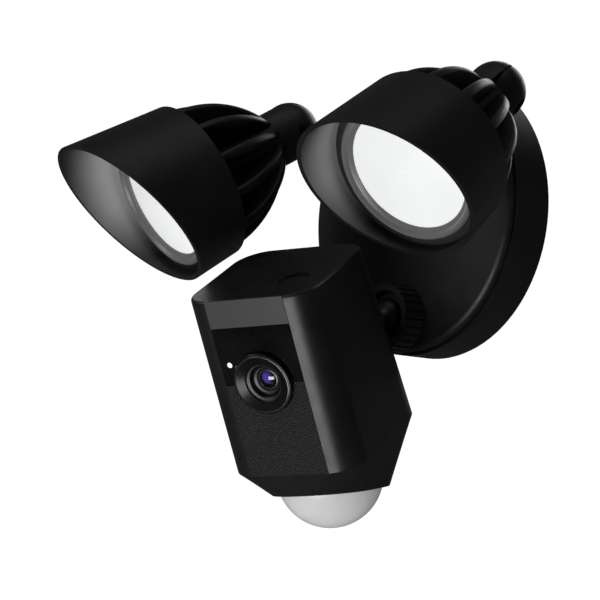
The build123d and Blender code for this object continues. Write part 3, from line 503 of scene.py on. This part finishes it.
def shade_material(name, look, centre, ahead):
    """The shade's moulding, with painted light on its inner wall: a pale colour that fades towards the visor
    and its upper half.
    """
    material = moulded(name, look.case_colour, look.case_roughness)
    tree = material.node_tree
    shader = tree.nodes["Principled BSDF"]
    plain = shader.inputs["Base Color"].links[0].from_socket
    side = ahead.cross(Vector((0, 0, 1))).normalized()
    upward = side.cross(ahead) * -1
    painted_inside = place(tree, "painted_inside", Reach=0.032)
    tree.links.new(plane_coords(tree, centre, side, upward), painted_inside.inputs["Vector"])
    coords = tree.nodes.new("ShaderNodeTexCoord")
    facing = in_plane_axes(tree, coords.outputs["Normal"], side, upward)
    tree.links.new(facing, painted_inside.inputs["Facing"])
    # painted light: the inner wall is mixed towards a pale colour low down and near the lens, where light would
    # fall
    with_painted_glow = mix_colour(tree, painted_inside.outputs["Mask"], plain, look.painted_glow_colour)
    tree.links.new(with_painted_glow, shader.inputs["Base Color"])
    return material


def assign(material, *nodes):
    for node in nodes:
        for slot in NODES[node].material_slots:
            slot.link = "OBJECT"
            slot.material = material


# ---------------------------------------------------------------- mesh helpers
def make_object(name, mesh, material, body):
    piece = bpy.data.objects.new(name, mesh)
    bpy.context.scene.collection.objects.link(piece)
    piece.data.materials.append(material)
    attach(piece, body)
    return piece


def turned(name, profile, centre, axis, segments=96):
    """A closed ring turned about an axis from a closed profile of (radius, along) points."""
    axis = axis.normalized()
    side = axis.orthogonal().normalized()
    other = axis.cross(side)
    work = bmesh.new()
    loops = []
    for step in range(segments):
        turn = 2 * math.pi * step / segments
        out = side * math.cos(turn) + other * math.sin(turn)
        loops.append([work.verts.new(centre + out * r + axis * z) for r, z in profile])
    count = len(profile)
    for step in range(segments):
        here, after = loops[step], loops[(step + 1) % segments]
        for index in range(count):
            follow = (index + 1) % count
            work.faces.new((here[index], after[index], after[follow], here[follow]))
    bmesh.ops.recalc_face_normals(work, faces=work.faces)
    for face in work.faces:
        face.smooth = True
    mesh = bpy.data.meshes.new(name)
    work.to_mesh(mesh)
    work.free()
    mesh.set_sharp_from_angle(angle=SHARP_EDGE)
    return mesh


def rounded_ring(radius, thick, low, high, steps=4):
    """Profile of a ring with rounded outer corners, between two heights."""
    curve = min(thick, high - low) * CORNER_SHARE
    points = [(radius - thick, low), (radius, low)]
    for step in range(steps + 1):
        turn = math.pi / 2 * step / steps
        points.append((radius - curve + curve * math.cos(turn), high - curve + curve * math.sin(turn)))
    points.append((radius - thick, high))
    return points


# ---------------------------------------------------------------- operators
class FLOOD_OT_base(bpy.types.Operator):
    """Finish the base, its cover, bracket and inner parts"""

    bl_idname = "floodlight.base"
    bl_label = "Base"

    def execute(self, context):
        look = context.scene.floodlight_finish
        case = moulded("Satin black moulding", look.case_colour, look.case_roughness)
        cover = moulded("Cover moulding", look.case_colour, look.case_roughness + 0.03)
        rubber = moulded(
            "Black rubber", (0.006, 0.006, 0.006, 1), 0.75, cloudiness=0.04, grain=0.0009, bump=0.2
        )
        assign(case, "base_housing")
        assign(cover, "base_cover")
        assign(rubber, "wall_gasket", "cover_seal", "wire_grommet")
        assign(metal("Zinc plated sheet", (0.52, 0.53, 0.55, 1), 0.36), "mounting_bracket")
        assign(metal("Screw steel", (0.55, 0.55, 0.56, 1), 0.3, scale=1600.0), "bracket_screws", "cover_screws")
        board = moulded(
            "Green solder mask", (0.012, 0.11, 0.035, 1), 0.32,
            cloudiness=0.08, grain=0.0016, bump=0.25, dust=0.01, coat=0.3,
        )
        assign(board, "driver_board")
        assign(moulded("Dark components", (0.02, 0.02, 0.022, 1), 0.45), "driver_components")
        assign(moulded("Terminal plastic", (0.03, 0.22, 0.07, 1), 0.38), "terminal_block")
        return {"FINISHED"}


class FLOOD_OT_camera_case(bpy.types.Operator):
    """Finish the camera's case, skirt, face plate, stud and mount"""

    bl_idname = "floodlight.camera_case"
    bl_label = "Camera head"

    def execute(self, context):
        look = context.scene.floodlight_finish
        smoother = look.case_roughness - 0.04
        case = moulded("Camera head moulding", look.case_colour, smoother, cloudiness=0.04)
        assign(case, "camera_shell", "camera_skirt", "setup_button")
        # partly painted sheen: the face plate is coloured lighter than the case to stand in for the sheen on
        # the band
        assign(moulded("Face plate moulding", look.painted_band_sheen_colour, smoother, cloudiness=0.04), "faceplate")
        assign(moulded("Mount moulding", look.case_colour, look.case_roughness), "camera_ball_stud")
        nylon = moulded("Dark nylon", (0.012, 0.012, 0.013, 1), 0.5)
        assign(nylon, "camera_lock_ring", "camera_ball_seat")
        gloss = moulded(
            "Gloss black window", look.window_colour, 0.05,
            cloudiness=0.01, grain=0.002, bump=0.01, dust=0.0, coat=0.4, specular=0.3,
        )
        assign(gloss, "window_panel")
        green = moulded(
            "Main board mask", (0.012, 0.10, 0.04, 1), 0.3,
            cloudiness=0.08, grain=0.0016, bump=0.25, dust=0.01, coat=0.3,
        )
        assign(green, "main_board")
        dark = moulded("Black components", (0.015, 0.015, 0.016, 1), 0.45)
        assign(dark, "infrared_lamps", "speaker_driver", "button_switch", "pir_sensor")
        assign(metal("Small screw steel", (0.5, 0.5, 0.52, 1), 0.32, scale=1600.0), "case_screws")
        white = moulded(
            "White light sensor, painted glow", (0.85, 0.86, 0.88, 1), 0.25,
            cloudiness=0.03, grain=0.001, bump=0.05, dust=0.0, coat=0.5,
        )
        shader = white.node_tree.nodes["Principled BSDF"]
        # painted light: a bluish-white emission makes the light sensor glow
        shader.inputs["Emission Color"].default_value = (0.9, 0.93, 1, 1)
        shader.inputs["Emission Strength"].default_value = PAINTED_SENSOR_GLOW
        assign(white, "light_sensor")
        return {"FINISHED"}


class FLOOD_OT_speaker(bpy.types.Operator):
    """Finish the speaker grille with its staggered sound holes"""

    bl_idname = "floodlight.speaker"
    bl_label = "Speaker grille"

    def execute(self, context):
        look = context.scene.floodlight_finish
        detail = context.scene.floodlight_detail
        right, _, up = head_axes()
        material, tree, shader = new_material("Perforated grille")
        node = place(tree, "moulded", Color=look.grille_colour, Roughness=look.case_roughness - 0.04,
                     Cloudiness=0.04, Grain_Scale=1.0 / detail.grain_size, Dust=0.01)
        holes = place(tree, "holes", Pitch=detail.hole_pitch, Size=0.34)
        lens = middle(mesh_points("lens_bezel"))
        tree.links.new(plane_coords(tree, lens, right, up), holes.inputs["Vector"])
        # painted shade: each sound hole is coloured near-black, standing in for the shade inside the hole
        painted_inside = mix_colour(tree, holes.outputs["Mask"], node.outputs["Color"], (0.0008, 0.0008, 0.0009, 1))
        tree.links.new(painted_inside, shader.inputs["Base Color"])
        rough = math_node(tree, "ADD", node.outputs["Roughness"],
                          math_node(tree, "MULTIPLY", holes.outputs["Mask"], 0.5), True)
        tree.links.new(rough, shader.inputs["Roughness"])
        add_bump(tree, shader, holes.outputs["Height"], 0.8, 0.00025)
        assign(material, "speaker_grille")
        return {"FINISHED"}


class FLOOD_OT_camera_lens(bpy.types.Operator):
    """Finish the lens and its glass, and add its two thin trim rings"""

    bl_idname = "floodlight.camera_lens"
    bl_label = "Camera lens"

    def execute(self, context):
        look = context.scene.floodlight_finish
        right, back, up = head_axes()
        ahead = -back
        centre = middle(mesh_points("lens_glass"))
        bezel = moulded(
            "Lens bezel gloss", (0.002, 0.002, 0.002, 1), 0.26,
            cloudiness=0.02, grain=0.002, bump=0.02, dust=0.0, specular=0.35,
        )
        assign(bezel, "lens_bezel")
        funnel = moulded(
            "Lens funnel", (0.008, 0.008, 0.0085, 1), 0.34, cloudiness=0.03, grain=0.0008, bump=0.05
        )
        tree = funnel.node_tree
        steps = place(tree, "waves", Pitch=0.0026)
        tree.links.new(plane_coords(tree, centre, right, up), steps.inputs["Vector"])
        add_bump(tree, tree.nodes["Principled BSDF"], steps.outputs["Height"], 0.9, 0.0006)
        assign(funnel, "lens_cone")
        assign(moulded("Lens barrel", (0.01, 0.01, 0.011, 1), 0.4, metallic=0.5), "lens_barrel")

        trim = context.scene.floodlight_detail.trim_height
        polished = moulded(
            "Polished trim", (0.05, 0.05, 0.055, 1), 0.16,
            cloudiness=0.02, grain=0.002, bump=0.02, dust=0.0, metallic=0.5, coat=0.5,
        )
        bezel_r, bezel_top = turned_size("lens_bezel", centre, ahead)
        rim_inset = 0.0011
        rim = rounded_ring(bezel_r - rim_inset, 2 * trim, bezel_top - trim, bezel_top + trim)
        rim_mesh = turned("lens_rim_trim", rim, centre, ahead)
        make_object("lens_rim_trim", rim_mesh, polished, "camera")
        glass_r, glass_top = turned_size("lens_glass", centre, ahead)
        throat = rounded_ring(glass_r + 4 * trim, 3 * trim, glass_top - 3 * trim, glass_top + trim)
        throat_mesh = turned("lens_throat_ring", throat, centre, ahead)
        make_object("lens_throat_ring", throat_mesh, polished, "camera")

        material, tree, shader = new_material("Lens glass with painted reflection")
        waves = place(tree, "waves", Pitch=0.0035)
        # painted reflection: a violet glint, a little left of and above the lens middle, fading to near-black
        # glass
        painted_glint_centre = centre - right * 0.0015 + up * 0.001
        coords = plane_coords(tree, painted_glint_centre, right, up)
        tree.links.new(coords, waves.inputs["Vector"])
        painted_glint = tree.nodes.new("ShaderNodeMapRange")
        tree.links.new(waves.outputs["Distance"], painted_glint.inputs["Value"])
        painted_glint_core, painted_glint_edge = 0.0012, 0.0042
        painted_glint.inputs["From Min"].default_value = painted_glint_core
        painted_glint.inputs["From Max"].default_value = painted_glint_edge
        painted_reflection_tint = mix_colour(tree, painted_glint.outputs["Result"], look.painted_reflection_colour, (0.004, 0.004, 0.012, 1))
        tree.links.new(painted_reflection_tint, shader.inputs["Base Color"])
        shader.inputs["Roughness"].default_value = 0.04
        shader.inputs["Coat Weight"].default_value = 1.0
        shader.inputs["Coat Roughness"].default_value = 0.02
        shader.inputs["Specular IOR Level"].default_value = 0.9
        assign(material, "lens_glass")
        return {"FINISHED"}


class FLOOD_OT_motion_sensor(bpy.types.Operator):
    """Finish the milky dome"""

    bl_idname = "floodlight.motion_sensor"
    bl_label = "Motion sensor dome"

    def execute(self, context):
        look = context.scene.floodlight_finish
        material, tree, shader = new_material("Milky sensor dome")
        node = place(tree, "moulded", Color=look.dome_colour, Roughness=0.3, Cloudiness=0.03,
                     Grain_Scale=900.0, Dust=0.0)
        tree.links.new(node.outputs["Color"], shader.inputs["Base Color"])
        tree.links.new(node.outputs["Roughness"], shader.inputs["Roughness"])
        # painted light: the dome's own colour is also emitted, brightening it although it is no lamp
        tree.links.new(node.outputs["Color"], shader.inputs["Emission Color"])
        shader.inputs["Emission Strength"].default_value = PAINTED_DOME_LIGHT
        shader.inputs["Subsurface Weight"].default_value = 0.5
        shader.inputs["Subsurface Radius"].default_value = (1.0, 1.0, 1.0)
        shader.inputs["Subsurface Scale"].default_value = 0.006
        shader.inputs["Coat Weight"].default_value = 0.4
        shader.inputs["Coat Roughness"].default_value = 0.12
        add_bump(tree, shader, node.outputs["Height"], 0.05, 0.0001)
        assign(material, "pir_dome")
        return {"FINISHED"}


class FLOOD_OT_lights(bpy.types.Operator):
    """Finish both lights: shades, diffusers, rings, heat sinks, necks, arms and turrets"""

    bl_idname = "floodlight.lights"
    bl_label = "Lights"

    def execute(self, context):
        look = context.scene.floodlight_finish
        ring = moulded("Lens ring moulding", look.ring_colour, look.case_roughness - 0.1)
        cast = moulded("Anodised casting", look.metal_colour, 0.42, grain=0.0007, bump=0.15)
        steel = metal("Joint steel", (0.5, 0.5, 0.52, 1), 0.3, scale=1600.0)
        dark_steel = moulded("Blackened steel", (0.02, 0.02, 0.021, 1), 0.36, metallic=0.8)
        rubber = moulded(
            "Seal rubber", (0.006, 0.006, 0.006, 1), 0.75, cloudiness=0.04, grain=0.0009, bump=0.2
        )
        washer = moulded("Friction washer", (0.012, 0.012, 0.013, 1), 0.5)
        board = moulded("White lamp board", (0.7, 0.7, 0.66, 1), 0.4)

        diffuser, tree, shader = new_material("Frosted diffuser")
        node = place(tree, "moulded", Color=look.diffuser_colour, Roughness=0.42, Cloudiness=0.03,
                     Grain_Scale=1100.0, Dust=0.0)
        tree.links.new(node.outputs["Color"], shader.inputs["Base Color"])
        tree.links.new(node.outputs["Roughness"], shader.inputs["Roughness"])
        tree.links.new(node.outputs["Color"], shader.inputs["Emission Color"])
        # painted light: the diffuser's colour is also emitted, keeping it bright white inside the shade's
        # shadow
        shader.inputs["Emission Strength"].default_value = PAINTED_DIFFUSER_LIGHT
        add_bump(tree, shader, node.outputs["Height"], 0.08, 0.00008)

        for side in ("right", "left"):
            centre, ahead = light_axes(side)
            assign(shade_material(f"{side.title()} shade moulding", look, centre, ahead), f"{side}_shade")
            assign(ring, f"{side}_lens_ring")
            assign(cast, f"{side}_heat_sink", f"{side}_neck", f"{side}_arm", f"{side}_turret")
            assign(dark_steel, f"{side}_knuckle_bolt")
            assign(steel, f"{side}_arm_pin", f"{side}_turret_nut")
            assign(rubber, f"{side}_lens_seal")
            assign(washer, f"{side}_friction_washer")
            assign(board, f"{side}_led_board")
            assign(diffuser, f"{side}_lens")
        return {"FINISHED"}


class FLOOD_OT_stage(bpy.types.Operator):
    """Add the pale floor, the soft studio lights and the camera"""

    bl_idname = "floodlight.stage"
    bl_label = "Stage"

    def execute(self, context):
        settings = context.scene.floodlight_stage
        floor_mesh = bpy.data.meshes.new("studio_floor")
        z = CAD_BOX[0][2] - settings.floor_drop
        corners = [
            (x * FLOOR_REACH, y * FLOOR_REACH, z) for x, y in ((-1, -1), (1, -1), (1, 1), (-1, 1))
        ]
        floor_mesh.from_pydata(corners, [], [(0, 1, 2, 3)])
        floor = bpy.data.objects.new("studio_floor", floor_mesh)
        context.scene.collection.objects.link(floor)
        pale, _, shader = new_material("Pale floor")
        shader.inputs["Base Color"].default_value = (FLOOR_GREY, FLOOR_GREY, FLOOR_GREY, 1)
        shader.inputs["Roughness"].default_value = 0.9
        floor_mesh.materials.append(pale)
        floor.visible_camera = False
        floor.visible_glossy = False

        world = bpy.data.worlds.new("Studio")
        context.scene.world = world
        world.use_nodes = True
        tree = world.node_tree
        tree.nodes.clear()
        out = tree.nodes.new("ShaderNodeOutputWorld")
        seen = tree.nodes.new("ShaderNodeBackground")
        seen.inputs["Color"].default_value = (1, 1, 1, 1)
        seen.inputs["Strength"].default_value = BACKDROP_STRENGTH
        fill = tree.nodes.new("ShaderNodeBackground")
        fill.inputs["Color"].default_value = (1, 1, 1, 1)
        fill.inputs["Strength"].default_value = FILL_STRENGTH
        rays = tree.nodes.new("ShaderNodeLightPath")
        mix = tree.nodes.new("ShaderNodeMixShader")
        tree.links.new(rays.outputs["Is Camera Ray"], mix.inputs[0])
        tree.links.new(fill.outputs[0], mix.inputs[1])
        tree.links.new(seen.outputs[0], mix.inputs[2])
        tree.links.new(mix.outputs[0], out.inputs["Surface"])

        for name, location, size, power in LAMPS:
            data = bpy.data.lights.new(name, "AREA")
            data.shape = "RECTANGLE"
            data.size, data.size_y = size
            data.energy = power
            item = bpy.data.objects.new(name, data)
            context.scene.collection.objects.link(item)
            item.location = location
            item.rotation_euler = (LAMP_TARGET - item.location).to_track_quat("-Z", "Y").to_euler()

        camera_data = bpy.data.cameras.new("camera")
        camera = bpy.data.objects.new("camera", camera_data)
        context.scene.collection.objects.link(camera)
        camera_data.lens = settings.lens
        camera_data.sensor_width = SENSOR_WIDTH
        camera_data.clip_end = 100
        ahead = CAMERA_AHEAD.normalized()
        sideways = ahead.cross(CAMERA_UP.normalized()).normalized()
        upward = sideways.cross(ahead)
        turn = Matrix((sideways, upward, -ahead)).transposed()
        camera.matrix_world = Matrix.Translation(CAMERA_PLACE) @ turn.to_4x4()
        context.scene.camera = camera
        context.scene.view_settings.view_transform = "Standard"
        context.scene.view_settings.look = "None"
        return {"FINISHED"}


class FLOOD_PT_panel(bpy.types.Panel):
    """Lists the steps that dress the part"""

    bl_label = "Floodlight Camera"
    bl_idname = "FLOOD_PT_panel"
    bl_space_type = "VIEW_3D"
    bl_region_type = "UI"
    bl_category = "Floodlight"

    def draw(self, context):
        for step in STEPS:
            self.layout.operator(step.bl_idname)
        for settings in ("floodlight_finish", "floodlight_detail", "floodlight_stage"):
            block = getattr(context.scene, settings)
            box = self.layout.box()
            for key in block.__annotations__:
                box.prop(block, key)


STEPS = (
    FLOOD_OT_base,
    FLOOD_OT_camera_case,
    FLOOD_OT_speaker,
    FLOOD_OT_camera_lens,
    FLOOD_OT_motion_sensor,
    FLOOD_OT_lights,
    FLOOD_OT_stage,
)
GROUPS_OF_SETTINGS = {
    "floodlight_finish": FinishSettings,
    "floodlight_detail": DetailSettings,
    "floodlight_stage": StageSettings,
}


def register():
    for name, settings in GROUPS_OF_SETTINGS.items():
        bpy.utils.register_class(settings)
        setattr(bpy.types.Scene, name, bpy.props.PointerProperty(type=settings))
    for step in STEPS:
        bpy.utils.register_class(step)
    bpy.utils.register_class(FLOOD_PT_panel)


def unregister():
    bpy.utils.unregister_class(FLOOD_PT_panel)
    for step in reversed(STEPS):
        bpy.utils.unregister_class(step)
    for name, settings in GROUPS_OF_SETTINGS.items():
        delattr(bpy.types.Scene, name)
        bpy.utils.unregister_class(settings)


def main():
    register()
    for step in STEPS:
        category, name = step.bl_idname.split(".")
        getattr(getattr(bpy.ops, category), name)()


if __name__ == "__main__":
    main()
